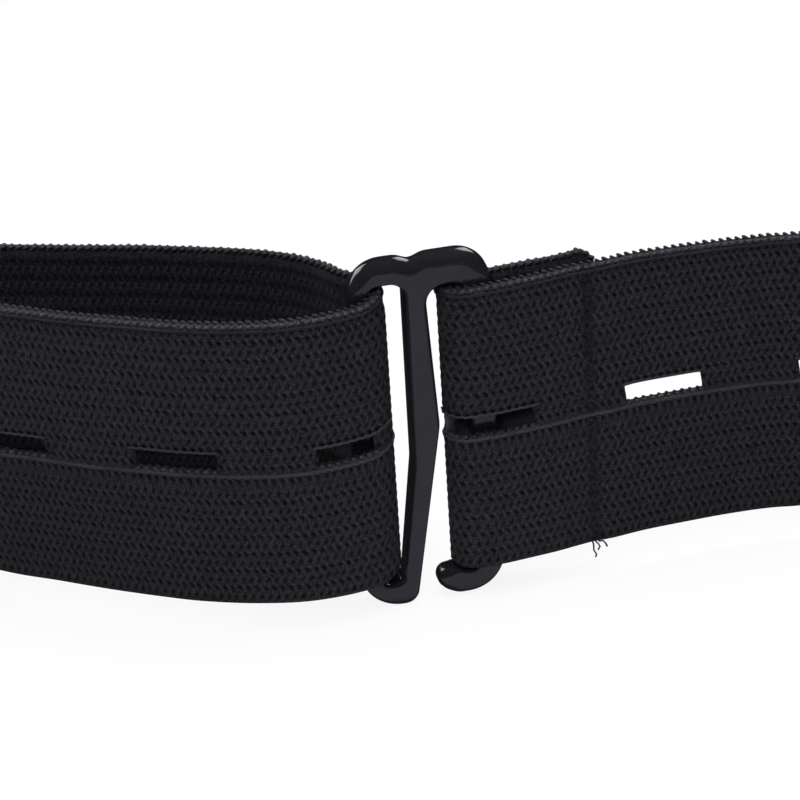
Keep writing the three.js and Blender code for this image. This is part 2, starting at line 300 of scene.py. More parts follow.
def foot_height(y):
    """How high the strip's lower edge stands: it climbs to lie on the hook's foot."""
    return FOOT_AT_HOOK * (1 - ease(np.asarray(y) / RING_HALF_DEPTH, LIFT_FROM, LIFT_TO))


def find_seam():
    """The length at which the seam crosses the front layer."""
    miss = np.hypot(WAY.places[:, 0] - BAR_CENTRE - SEAM_REACH + 0.6, WAY.places[:, 1] + 0.9)
    on_sewn_end = WAY.lengths < 20
    return WAY.lengths[int(np.argmin(miss + np.where(on_sewn_end, 1e3, 0)))]


WAY, SLOTS, STUD_AT, LEFT_SLOT = lay_out_ring()
SLOT_STARTS = SLOTS - SLOT_LENGTH / 2 - SLOT_GROWTH
SLOT_ENDS = SLOTS + SLOT_LENGTH / 2 + SLOT_GROWTH
SLOT_ENDS[LEFT_SLOT] -= FOLD_SLOT_CUT
SLOT_STARTS[0] -= FOLD_SLOT_START
SLOT_STARTS[SEAM_SLOT] += SEAM_SLOT_CUT
SEAM_AT = find_seam()


def lean_at(length):
    """How far the strip leans towards the viewer per millimetre of height."""
    x = WAY.at(length)[..., 0]
    front = (WAY.outward(length)[..., 1] < -0.5) & (length < 0.5 * WAY.total)
    return np.where(front, LEAN * ease(x, *LEAN_STARTS) * (1 - ease(x, *LEAN_ENDS)), 0.0)


def bulge_at(length):
    """How far the upper half of the left front stands out towards the viewer."""
    reach = np.interp(WAY.at(length)[..., 0], *BULGE)
    facing_front = WAY.outward(length)[..., 1] < 0
    left_front = facing_front & (length > 0.6 * WAY.total) & (length < SLOTS[LEFT_SLOT])
    return np.where(left_front, reach, 0.0)


def hug_at(length):
    """How much closer the front layer lies to the right bar than the rest of the fold."""
    x = WAY.at(length)[..., 0]
    front = (WAY.outward(length)[..., 1] < -0.5) & (length < 0.3 * WAY.total)
    return np.where(front, np.interp(x, *HUG), 0.0)


def pinch_at(length):
    """How far the fold at the left bar is drawn in at its upper edge."""
    return np.interp(np.asarray(length, float) - SLOTS[LEFT_SLOT], *FOLD_PINCH)


def rise_at(length):
    """How much higher than the rest a layer lies: the sewn end is askew, and the tail
    rides up a little."""
    length = np.asarray(length, float)
    fold_end = SLOTS[LEFT_SLOT] + SLOT_LENGTH / 2
    return np.interp(length, *SEWN_RISE) + np.interp(length - fold_end, *TAIL_RISE)


def strip_point(length, up, out):
    """A point on the strip, in metres in the row's frame."""
    place = WAY.at(length)
    outward = WAY.outward(length)
    above = np.asarray(up, float) - BAND_WIDTH / 2
    out = out + lean_at(length) * np.where(above > 0, above, 0.35 * above)
    out = out + bulge_at(length) * ease(up, -2, BAND_WIDTH / 2 + 4) - hug_at(length)
    out = out - pinch_at(length) * ease(up, BAND_WIDTH - PINCH_HEIGHT, BAND_WIDTH)
    x = place[..., 0] + outward[..., 0] * out + HOOK_AT[0]
    y = place[..., 1] + outward[..., 1] * out + HOOK_AT[1]
    z = foot_height(place[..., 1]) + up + rise_at(length) + HOOK_AT[2]
    return np.stack([x, y, z], -1) * MM


# The strip's mesh

def edge_rounding(up):
    """How far the strip's face is drawn in near its two edges."""
    at_foot = EDGE_ROUNDING * (1 - ease(up, 0, EDGE_REACH))
    return at_foot + EDGE_ROUNDING * ease(up, BAND_WIDTH - EDGE_REACH, BAND_WIDTH)


def set_marks(heights, marks):
    """Move the nearest height onto each mark."""
    for mark in marks:
        nearest = min(range(len(heights)), key=lambda i: abs(heights[i] - mark))
        heights[nearest] = mark


def strip_section():
    """Points round the strip's section as (up, out, face), and where its slot lips stand."""
    outer = []
    heights = [0.0, 0.25]
    row = 0.6
    while row < BAND_WIDTH - 0.9:
        heights.append(row)
        row += ROW / 2
    marks = [SLOT_FOOT, SLOT_TOP]
    set_marks(heights, marks)
    heights += [BAND_WIDTH - 0.6, BAND_WIDTH - 0.25, BAND_WIDTH]
    for up in heights:
        turn = math.pi * up / ROW
        relief = ROW_RELIEF * (0.5 - 0.35 * math.cos(2 * turn) - 0.15 * math.cos(turn))
        ridge = RIDGE_SHOWN * math.exp(-((up - RIDGE_AT) / 0.4) ** 2)
        outer.append((up, HALF - ROW_RELIEF + relief - edge_rounding(up) + ridge, 0))
    inner = []
    heights = [BAND_WIDTH, BAND_WIDTH - 0.3]
    row = BAND_WIDTH - INNER_RIB / 2
    while row > 0.5:
        heights.append(row)
        row -= INNER_RIB / 2
    set_marks(heights, marks)
    heights += [0.3, 0.0]
    for up in heights:
        relief = INNER_RELIEF * 0.5 * (1 - math.cos(2 * math.pi * up / INNER_RIB))
        inner.append((up, -(HALF - INNER_RELIEF + relief - edge_rounding(up)), 1))
    outer_up = [p[0] for p in outer]
    inner_up = [p[0] for p in inner]
    lips = {
        "outer_low": outer_up.index(SLOT_FOOT),
        "outer_high": outer_up.index(SLOT_TOP),
        "inner_high": len(outer) + inner_up.index(SLOT_TOP),
        "inner_low": len(outer) + inner_up.index(SLOT_FOOT),
    }
    return outer + inner, lips, len(outer)


def strip_stations():
    """Lengths along the strip where its section stands, and whether a slot starts there."""
    knots = [(0.0, False)]
    for start, end in zip(SLOT_STARTS, SLOT_ENDS):
        knots.append((start, True))
        knots.append((end, False))
    knots.append((WAY.total, False))
    lengths, in_slot = [], []
    for (start, inside), (end, _) in zip(knots, knots[1:]):
        pieces = max(1, round((end - start) / STEP_ALONG))
        for piece in range(pieces):
            lengths.append(start + (end - start) * piece / pieces)
            in_slot.append(inside)
    lengths.append(WAY.total)
    in_slot.append(False)
    return np.array(lengths), in_slot


def inside_slot(lengths):
    """How far inside the nearest slot's ends each length lies; negative outside."""
    from_start = lengths[:, None] - SLOT_STARTS[None, :]
    to_end = SLOT_ENDS[None, :] - lengths[:, None]
    return np.max(np.minimum(from_start, to_end), axis=1)


def slot_share(lengths):
    """How open the slot is at each length: it narrows a little at its ends."""
    return 1.0 + 0.05 * np.sqrt(np.clip(inside_slot(lengths) / 0.4, 0, 1))


def near_slot(lengths):
    """1 at a slot, falling to 0 a little way past its ends."""
    return 1 - ease(-inside_slot(lengths), 0, LIP_REACH)


def strip_rows(section, lengths):
    """A row of points along the strip for each point of its section, and the rows' heights."""
    seam_dip = SEAM_DIP * np.exp(-((lengths - SEAM_AT) / SEAM_WIDTH) ** 2)
    thinned = near_slot(lengths)
    share = slot_share(lengths)
    rows, ups = [], []
    for up, out, face in section:
        above = up - SLOT_MIDDLE
        heights = np.full(len(lengths), up)
        if SLOT_FOOT <= up <= SLOT_TOP:
            heights = SLOT_MIDDLE - SLOT_SETTLE + above * share
        shear = SLOT_SHEAR * thinned * (SLOT_MIDDLE - heights) * math.exp(-(above / SHEAR_REACH) ** 4)
        if face == 0:
            depth = out - seam_dip - LIP_DROP * thinned * math.exp(-(above / LIP_DROP_REACH) ** 6)
        else:
            depth = out + LIP_THINNING * thinned * math.exp(-(above / LIP_THINNING_REACH) ** 4)
        rows.append(strip_point(lengths + shear, heights, depth))
        ups.append(heights)
    return np.stack(rows, 1).reshape(-1, 3), np.stack(ups, 1).ravel()


def build_strip(materials):
    """One skin round the strip, with its slots cut through and their walls closed."""
    section, lips, outer_count = strip_section()
    lengths, in_slot = strip_stations()
    around = len(section)
    points, ups = strip_rows(section, lengths)
    faces, kinds = [], []

    def add(face, kind):
        faces.append(face)
        kinds.append(kind)

    slot_faces = set(range(lips["outer_low"], lips["outer_high"]))
    slot_faces |= set(range(lips["inner_high"], lips["inner_low"]))
    end_outer = list(range(lips["outer_low"], lips["outer_high"] + 1))
    end_inner = list(range(lips["inner_high"], lips["inner_low"] + 1))
    end_ring = [*end_outer, *end_inner]
    for i in range(len(lengths) - 1):
        here, there = i * around, (i + 1) * around
        for k in range(around):
            beside = (k + 1) % around
            if in_slot[i] and k in slot_faces:
                continue
            kind = 0 if k < outer_count else 1
            add((here + k, there + k, there + beside, here + beside), kind)
        if in_slot[i]:
            low = (lips["outer_low"], lips["inner_low"])
            high = (lips["inner_high"], lips["outer_high"])
            for a, b in (low, high):
                add((here + a, there + a, there + b, here + b), 1)
        if in_slot[i + 1] and not in_slot[i]:
            add(tuple(there + k for k in reversed(end_ring)), 1)
        if in_slot[i] and not in_slot[i + 1]:
            add(tuple(there + k for k in end_ring), 1)
    add(tuple(range(around)), 1)
    last = (len(lengths) - 1) * around
    add(tuple(last + k for k in reversed(range(around))), 1)
    mesh = bpy.data.meshes.new("elastic_strip")
    mesh.from_pydata(points.tolist(), [], faces)
    for material in materials:
        mesh.materials.append(material)
    mesh.polygons.foreach_set("material_index", kinds)
    mesh.polygons.foreach_set("use_smooth", [True] * len(faces))
    lay_cloth_map(mesh, np.repeat(lengths, around), ups)
    mesh.validate()
    return piece("elastic_strip", mesh)


def lay_cloth_map(mesh, along, up):
    """A UV map in millimetres: along the strip, and up across it."""
    corners = np.zeros(len(mesh.loops), np.int32)
    mesh.loops.foreach_get("vertex_index", corners)
    uv = mesh.uv_layers.new(name="cloth")
    values = np.stack([along[corners], up[corners]], 1).astype(np.float32)
    uv.data.foreach_set("uv", values.ravel())


def piece(name, mesh):
    """An object in the scene for a finished mesh."""
    made = bpy.data.objects.new(name, mesh)
    bpy.context.scene.collection.objects.link(made)
    return made


# Node helpers

def add_node(tree, kind, **settings):
    made = tree.nodes.new(kind)
    for name, value in settings.items():
        setattr(made, name, value)
    return made


def feed(tree, socket, value):
    if isinstance(value, bpy.types.NodeSocket):
        tree.links.new(value, socket)
    elif value is not None:
        socket.default_value = value


def calc(tree, operation, *values, clamp=False):
    made = add_node(tree, "ShaderNodeMath", operation=operation, use_clamp=clamp)
    for socket, value in zip(made.inputs, values):
        feed(tree, socket, value)
    return made.outputs[0]


def plus(tree, first, second):
    return calc(tree, "ADD", first, second)


def minus(tree, first, second):
    return calc(tree, "SUBTRACT", first, second)


def times(tree, first, second):
    return calc(tree, "MULTIPLY", first, second)


def squared(tree, value):
    return calc(tree, "POWER", calc(tree, "ABSOLUTE", value), 2.0)


def diagonal(tree, first, second):
    """The distance that two distances at right angles make."""
    return calc(tree, "SQRT", plus(tree, squared(tree, first), squared(tree, second)))


def ramp_between(tree, value, start, end, low=0.0, high=1.0):
    made = add_node(tree, "ShaderNodeMapRange", interpolation_type="SMOOTHSTEP")
    for name, given in (("Value", value), ("From Min", start), ("From Max", end),
                        ("To Min", low), ("To Max", high)):
        feed(tree, made.inputs[name], given)
    return made.outputs["Result"]


def blend_number(tree, share, first, second):
    made = add_node(tree, "ShaderNodeMix", data_type="FLOAT")
    feed(tree, made.inputs[0], share)
    feed(tree, made.inputs[2], first)
    feed(tree, made.inputs[3], second)
    return made.outputs[0]


def blend_colour(tree, share, first, second):
    made = add_node(tree, "ShaderNodeMix", data_type="RGBA")
    feed(tree, made.inputs[0], share)
    feed(tree, made.inputs[6], first)
    feed(tree, made.inputs[7], second)
    return made.outputs[2]


def noise(tree, vector, scale, detail=2.0, roughness=0.5):
    made = add_node(tree, "ShaderNodeTexNoise")
    feed(tree, made.inputs["Vector"], vector)
    made.inputs["Scale"].default_value = scale
    made.inputs["Detail"].default_value = detail
    made.inputs["Roughness"].default_value = roughness
    return made.outputs["Fac"]


def new_group(name, inputs, outputs):
    group = bpy.data.node_groups.new(name, "ShaderNodeTree")
    for label, value in inputs:
        kind = "NodeSocketVector" if value is None else "NodeSocketFloat"
        socket = group.interface.new_socket(label, in_out="INPUT", socket_type=kind)
        if value is not None:
            socket.default_value = value
    for label in outputs:
        group.interface.new_socket(label, in_out="OUTPUT", socket_type="NodeSocketFloat")
    entry = add_node(group, "NodeGroupInput")
    leave = add_node(group, "NodeGroupOutput")
    return group, entry.outputs, leave.inputs


def place_group(tree, group, **values):
    """A shader group in a material, with its inputs set by name."""
    made = add_node(tree, "ShaderNodeGroup", node_tree=group)
    for name, value in values.items():
        feed(tree, made.inputs[name.replace("_", " ")], value)
    return made.outputs


def new_material(name):
    material = bpy.data.materials.new(name)
    material.use_nodes = True
    tree = material.node_tree
    surface = next(n for n in tree.nodes if n.type == "BSDF_PRINCIPLED")
    return material, tree, surface


def bump(tree, height, distance, strength=1.0, normal=None):
    made = add_node(tree, "ShaderNodeBump")
    made.inputs["Distance"].default_value = distance
    made.inputs["Strength"].default_value = strength
    feed(tree, made.inputs["Height"], height)
    if normal is not None:
        feed(tree, made.inputs["Normal"], normal)
    return made.outputs["Normal"]


# Effects

# How much each thing lightens or darkens the knit, and how high it stands in the bump
GAP_TAPER = 0.3
STRANDS = 5
STRAND_HEIGHT = 0.07
# Painted highlights: the yarns' crests and a spot beside each gap are lightened in colour.
PAINTED_CREST_HIGHLIGHT = 0.48
PAINTED_GLINT_TONE = 0.62
BASE_TONE = 0.04
CORD_TONE = 0.34
STROKE_TONE = 0.12
SEAM_TONE = 0.26
PATCH_TONE = 0.7
FIBRE_TONE = 2.2
FUZZ_TONE = 3.4
CREST_HEIGHT = 0.6
CORD_HEIGHT = 0.4
GLINT_HEIGHT = 0.25
FUZZ_HEIGHT = 0.9


def knit_cells(group, given, along, up):
    """The staggered cells of the knit: the place in columns and rows, and inside its own cell."""
    x = calc(group, "DIVIDE", along, given["Column"])
    y = calc(group, "DIVIDE", up, given["Row"])
    row = calc(group, "ROUND", y)
    odd = calc(group, "FLOORED_MODULO", row, 2.0)
    shifted = minus(group, x, times(group, odd, 0.5))
    across = minus(group, shifted, calc(group, "ROUND", shifted))
    across = times(group, across, given["Column"])
    over = times(group, minus(group, y, row), given["Row"])
    return x, y, odd, across, over


def knit_gap(group, given, odd, across, over):
    """A slanting, comma-like gap in each cell; every other row leans the other way and is smaller."""
    turn = minus(group, 1.0, times(group, odd, 2.0))
    slanted = plus(group, across, times(group, times(group, turn, given["Slant"]), over))
    widen = times(group, times(group, turn, GAP_TAPER), over)
    width = times(group, plus(group, given["Gap Width"], widen), blend_number(group, odd, 1.0, 0.68))
    width = calc(group, "MAXIMUM", width, 0.04)
    tall = times(group, given["Gap Height"], blend_number(group, odd, 1.0, 0.95))
    reach = diagonal(group, calc(group, "DIVIDE", slanted, width), calc(group, "DIVIDE", over, tall))
    uneven = ramp_between(group, noise(group, given["Place"], 1.1, 2.0, 0.6), 0.35, 0.62, 0.5, 1.0)
    depth = times(group, blend_number(group, odd, 1.0, 0.9), uneven)
    return times(group, depth, ramp_between(group, reach, 0.45, 1.25, 1.0, 0.0))


def knit_glint(group, odd, across, over):
    """A bright spot on the yarn up beside each gap: a painted highlight in the tone, and a small rise in
    the bump.
    """
    beside = calc(group, "DIVIDE", minus(group, across, 0.3), 0.26)
    above = calc(group, "DIVIDE", minus(group, over, 0.3), 0.2)
    spot = ramp_between(group, diagonal(group, beside, above), 0.3, 1.05, 1.0, 0.0)
    return times(group, spot, blend_number(group, odd, 1.0, 0.45))


def knit_yarns(group, x, y, odd):
    """The yarns that cross: how high the one in front and the one behind stand."""
    half_y = times(group, y, 0.5)
    yarns = []
    for line in (plus(group, x, half_y), minus(group, x, half_y)):
        wave = calc(group, "COSINE", times(group, line, 2 * math.pi))
        crest = minus(group, 0.5, times(group, wave, 0.5))
        strand = calc(group, "COSINE", times(group, line, 2 * math.pi * STRANDS))
        yarns.append(plus(group, crest, times(group, strand, STRAND_HEIGHT)))
    front = blend_number(group, odd, yarns[0], yarns[1])
    rear = blend_number(group, odd, yarns[1], yarns[0])
    return front, rear


def knit_group():
    """Slanting yarns that leave rows of small gaps; takes places in millimetres."""
    group, given, result = new_group(
        "knit",
        [("Place", None), ("Column", COLUMN), ("Row", ROW), ("Gap Width", 0.27),
         ("Gap Height", 0.38), ("Slant", 0.5), ("Wander", 0.14), ("Binding At", BINDING_AT),
         ("Ridge At", RIDGE_AT), ("Seam At", SEAM_AT), ("Stretch", 0.7), ("Crest", 1.0), ("Bands", 0.0)],
        ["Height", "Gap", "Tone"],
    )
    drift = minus(group, noise(group, given["Place"], 0.35, 3.0, 0.6), 0.5)
    drift = times(group, times(group, drift, given["Wander"]), 5.0)
    split = add_node(group, "ShaderNodeSeparateXYZ")
    feed(group, split.inputs[0], given["Place"])
    level = split.outputs["Y"]
    along = plus(group, split.outputs["X"], drift)
    up = minus(group, level, times(group, drift, 0.6))
    below = minus(group, given["Ridge At"], level)
    stretched = times(group, ramp_between(group, below, 0.4, 2.3, 1.0, 0.0),
                      ramp_between(group, below, -0.3, 0.2))
    up = minus(group, up, times(group, stretched, given["Stretch"]))
    x, y, odd, across, over = knit_cells(group, given, along, up)
    gap = knit_gap(group, given, odd, across, over)
    glint = knit_glint(group, odd, across, over)
    front, rear = knit_yarns(group, x, y, odd)

    bound = ramp_between(group, level, given["Binding At"], plus(group, given["Binding At"], 0.2))
    from_ridge = calc(group, "ABSOLUTE", minus(group, level, given["Ridge At"]))
    corded = ramp_between(group, from_ridge, 0.2, 0.45, 1.0, 0.0)
    from_seam = calc(group, "ABSOLUTE", minus(group, along, given["Seam At"]))
    sewn = ramp_between(group, from_seam, 0.3, 1.1, 1.0, 0.0)
    calm = calc(group, "MAXIMUM", bound, corded)
    calm = calc(group, "MAXIMUM", calm, times(group, sewn, 0.75))
    gap = times(group, gap, minus(group, 1.0, calm))
    feed(group, result["Gap"], gap)

    fuzz = noise(group, given["Place"], 6.0, 3.0, 0.7)
    height = calc(group, "MAXIMUM", front, times(group, rear, 0.8))
    height = times(group, height, times(group, given["Crest"], CREST_HEIGHT))
    height = minus(group, blend_number(group, calm, height, CORD_HEIGHT), gap)
    height = plus(group, height, times(group, glint, GLINT_HEIGHT))
    feed(group, result["Height"], plus(group, height, times(group, fuzz, FUZZ_HEIGHT)))

    # Painted highlights: the crests of the yarns and the glints lighten the tone.
    crest = calc(group, "MAXIMUM", front, times(group, rear, 0.7))
    tone = times(group, calc(group, "POWER", crest, 2.2), PAINTED_CREST_HIGHLIGHT)
    tone = plus(group, tone, plus(group, times(group, glint, PAINTED_GLINT_TONE), BASE_TONE))
    stroke = calc(group, "COSINE", times(group, x, 2 * math.pi))
    cord = plus(group, times(group, stroke, STROKE_TONE), CORD_TONE)
    tone = blend_number(group, calm, tone, cord)
    # Painted light and shade along the ribs: the tone rises and falls in bands at two rows' pitch, as
    # much as Bands gives.
    band = calc(group, "COSINE", times(group, y, math.pi))
    tone = plus(group, tone, times(group, band, given["Bands"]))
    tone = minus(group, tone, times(group, sewn, SEAM_TONE))
    patch = noise(group, given["Place"], 0.6, 3.0, 0.65)
    fibre = noise(group, given["Place"], 3.0, 2.0, 0.6)
    for mottle, share in ((patch, PATCH_TONE), (fibre, FIBRE_TONE), (fuzz, FUZZ_TONE)):
        tone = plus(group, tone, times(group, minus(group, mottle, 0.5), share))
    feed(group, result["Tone"], calc(group, "ADD", tone, 0.05, clamp=True))
    return group


def wear_group():
    """Slow and fine mottling of a surface; takes places in millimetres."""
    group, given, result = new_group(
        "skin_mottle", [("Place", None), ("Broad", 0.25), ("Fine", 3.0)], ["Slow", "Quick"],
    )
    for label, size, detail in (("Slow", "Broad", 3.0), ("Quick", "Fine", 2.0)):
        made = add_node(group, "ShaderNodeTexNoise")
        feed(group, made.inputs["Vector"], given["Place"])
        feed(group, made.inputs["Scale"], given[size])
        made.inputs["Detail"].default_value = detail
        feed(group, result[label], made.outputs["Fac"])
    return group


# Materials

def grey(value, cool=0.3):
    """A grey of this value that is a little bluer by the share given."""
    return (value, value, value * (1 + cool), 1.0)


def object_place(tree):
    """Object coordinates in millimetres."""
    source = add_node(tree, "ShaderNodeTexCoord")
    scale = add_node(tree, "ShaderNodeVectorMath", operation="SCALE")
    feed(tree, scale.inputs[0], source.outputs["Object"])
    scale.inputs["Scale"].default_value = 1 / MM
    return scale.outputs[0]


def cloth_place(tree):
    source = add_node(tree, "ShaderNodeUVMap", uv_map="cloth")
    return source.outputs["UV"]


def light_painted_behind_slots(tree):
    """Painted light: the inner face is painted paler behind the two slots by the hook, for the light
    that comes in through them.
    """
    split = add_node(tree, "ShaderNodeSeparateXYZ")
    feed(tree, split.inputs[0], cloth_place(tree))
    along, up = split.outputs["X"], split.outputs["Y"]
    from_middle = calc(tree, "ABSOLUTE", minus(tree, up, SLOT_MIDDLE - 2.0))
    level = ramp_between(tree, from_middle, 4.0, 6.0, 1.0, 0.0)
    sewn_end = ramp_between(tree, along, 20.0, 24.0, 0.9, 0.0)
    past_fold = SLOTS[LEFT_SLOT] + SLOT_LENGTH / 2
    tail = times(tree, ramp_between(tree, along, past_fold + 1, past_fold + 3, 0.0, 0.7),
                ramp_between(tree, along, past_fold + 24, past_fold + 28, 1.0, 0.0))
    return times(tree, level, plus(tree, sewn_end, tail))


DARKEST_YARN, LIGHTEST_YARN = 0.35, 3.9
# Painted light: the paler grey the inner face is given behind the slots by the hook.
PAINTED_LIGHT_GREY = 0.06


def knit_material(name, knit, light, painted_gap_shade, relief, painted_light, **sizes):
    """One face of the strip: light is its yarn's middle grey; its gaps are darkened as painted shade,
    and where asked the face is painted paler behind the slots by the hook as painted light.
    """
    material, tree, surface = new_material(name)
    cloth = place_group(tree, knit, Place=cloth_place(tree), **sizes)
    shade = blend_colour(tree, cloth["Tone"], grey(light * DARKEST_YARN), grey(light * LIGHTEST_YARN))
    # Painted shade: the knit's gaps are darkened in colour, as shade in the holes.
    colour = blend_colour(tree, cloth["Gap"], shade, grey(painted_gap_shade))
    # Painted light: the inner face is made paler behind the slots by the hook.
    if painted_light:
        colour = blend_colour(tree, light_painted_behind_slots(tree), colour, grey(PAINTED_LIGHT_GREY))
    feed(tree, surface.inputs["Base Color"], colour)
    rough = blend_number(tree, cloth["Gap"], 0.62, 0.95)
    feed(tree, surface.inputs["Roughness"], rough)
    feed(tree, surface.inputs["Normal"], bump(tree, cloth["Height"], relief * MM, 1.0))
    surface.inputs["Specular IOR Level"].default_value = 0.35
    surface.inputs["Sheen Weight"].default_value = 0.02
    surface.inputs["Sheen Roughness"].default_value = 0.5
    return material


def yarn_material(name, wear, light, smooth, rough_most, specular):
    """The smoother yarn of the corded edges and the threads."""
    material, tree, surface = new_material(name)
    place = object_place(tree)
    skin = place_group(tree, wear, Place=place, Broad=0.4, Fine=4.5)
    colour = blend_colour(tree, skin["Slow"], grey(light * 0.6), grey(light * 1.5))
    feed(tree, surface.inputs["Base Color"], colour)
    rough = blend_number(tree, skin["Quick"], smooth, rough_most)
    feed(tree, surface.inputs["Roughness"], rough)
    feed(tree, surface.inputs["Normal"], bump(tree, skin["Quick"], 0.12 * MM, 0.5))
    surface.inputs["Specular IOR Level"].default_value = specular
    return material


def coat_material(wear):
    """Black enamel over a cast hook: glossy, with a little orange peel and dust."""
    material, tree, surface = new_material("black_enamel")
    place = object_place(tree)
    skin = place_group(tree, wear, Place=place, Broad=0.35, Fine=2.2)
    specks = noise(tree, place, 5.5, 1.0)
    dust = ramp_between(tree, specks, 0.73, 0.78)
    colour = blend_colour(tree, skin["Slow"], grey(0.008), grey(0.013))
    colour = blend_colour(tree, times(tree, dust, 0.4), colour, grey(0.05))
    feed(tree, surface.inputs["Base Color"], colour)
    gloss = blend_number(tree, skin["Slow"], 0.1, 0.2)
    rough = plus(tree, gloss, times(tree, dust, 0.3))
    feed(tree, surface.inputs["Roughness"], rough)
    feed(tree, surface.inputs["Normal"], bump(tree, skin["Slow"], 0.5 * MM, 0.12))
    surface.inputs["IOR"].default_value = 1.52
    surface.inputs["Coat Weight"].default_value = 0.5
    surface.inputs["Coat Roughness"].default_value = 0.08
    return material


def plastic_material(wear):
    """Matte moulded plastic with a fine spark-eroded grain."""
    material, tree, surface = new_material("matte_plastic")
    place = object_place(tree)
    skin = place_group(tree, wear, Place=place, Broad=0.3, Fine=6.0)
    colour = blend_colour(tree, skin["Slow"], grey(0.011), grey(0.022))
    feed(tree, surface.inputs["Base Color"], colour)
    rough = blend_number(tree, skin["Quick"], 0.42, 0.6)
    feed(tree, surface.inputs["Roughness"], rough)
    feed(tree, surface.inputs["Normal"], bump(tree, skin["Quick"], 0.08 * MM, 0.5))
    return material


FLOOR_WHITE = 0.88
# How brightly the floor glows to glossy rays, in front of the belt and under it: a painted reflection.
PAINTED_REFLECTION_IN_FRONT = 0.34
PAINTED_REFLECTION_UNDER_BELT = 0.015


def floor_material(wear):
    """White paper. To glossy rays it is a painted reflection instead: it glows, brighter in front of the
    belt than under and behind it, and dimmer far to either side.
    """
    material, tree, surface = new_material("paper_floor")
    place = object_place(tree)
    skin = place_group(tree, wear, Place=place, Broad=0.01, Fine=0.6)
    colour = blend_colour(tree, skin["Slow"], grey(0.9, 0.0), grey(0.93, 0.0))
    feed(tree, surface.inputs["Base Color"], colour)
    surface.inputs["Roughness"].default_value = 0.85
    feed(tree, surface.inputs["Normal"], bump(tree, skin["Quick"], 0.03 * MM, 0.2))
    # Painted reflection: to glossy rays the floor glows by place.
    split = add_node(tree, "ShaderNodeSeparateXYZ")
    feed(tree, split.inputs[0], place)
    front = ramp_between(tree, split.outputs["Y"], HOOK_AT[1] - 4, HOOK_AT[1] - 1.9,
                         PAINTED_REFLECTION_IN_FRONT, PAINTED_REFLECTION_UNDER_BELT)
    right = ramp_between(tree, split.outputs["X"], HOOK_AT[0] + 26, HOOK_AT[0] + 44, 1.0, 0.1)
    left = ramp_between(tree, split.outputs["X"], HOOK_AT[0] - 26, HOOK_AT[0] - 14, 0.1, 1.0)
    painted_reflection = add_node(tree, "ShaderNodeEmission")
    painted_reflection.inputs["Color"].default_value = grey(0.92, 0.2)
    feed(tree, painted_reflection.inputs["Strength"], times(tree, front, times(tree, right, left)))
    lit = add_node(tree, "ShaderNodeEmission")
    rays = add_node(tree, "ShaderNodeLightPath")
    seen = add_node(tree, "ShaderNodeMixShader")
    feed(tree, seen.inputs[0], times(tree, rays.outputs["Is Camera Ray"], FLOOR_WHITE))
    feed(tree, seen.inputs[1], surface.outputs[0])
    feed(tree, seen.inputs[2], lit.outputs[0])
    both = add_node(tree, "ShaderNodeMixShader")
    feed(tree, both.inputs[0], rays.outputs["Is Glossy Ray"])
    feed(tree, both.inputs[1], seen.outputs[0])
    feed(tree, both.inputs[2], painted_reflection.outputs[0])
    out = next(n for n in tree.nodes if n.type == "OUTPUT_MATERIAL")
    feed(tree, out.inputs["Surface"], both.outputs[0])
    return material


# The hook

def rounded_outline(corners, step=math.radians(5)):
    """The closed outline through the corners, each one turned with its own radius."""
    points = []
    for index, (x, z, r) in enumerate(corners):
        place = np.array([x, z])
        before = np.array(corners[index - 1][:2]) - place
        after = np.array(corners[(index + 1) % len(corners)][:2]) - place
        before /= np.linalg.norm(before)
        after /= np.linalg.norm(after)
        half = math.acos(max(-1.0, min(1.0, float(before @ after)))) / 2
        middle = (before + after) / np.linalg.norm(before + after)
        centre = place + middle * r / math.sin(half)
        spoke = place + before * r / math.tan(half) - centre
        turn = math.pi - 2 * half
        way = 1 if before[0] * after[1] - before[1] * after[0] < 0 else -1
        steps = max(3, math.ceil(turn / step))
        for i in range(steps + 1):
            a = way * turn * i / steps
            spun = np.array([
                spoke[0] * math.cos(a) - spoke[1] * math.sin(a),
                spoke[0] * math.sin(a) + spoke[1] * math.cos(a),
            ])
            point = centre + spun
            if not points or np.linalg.norm(point - points[-1]) > 0.02:
                points.append(point)
    if np.linalg.norm(points[0] - points[-1]) < 0.02:
        points.pop()
    return np.array(points)


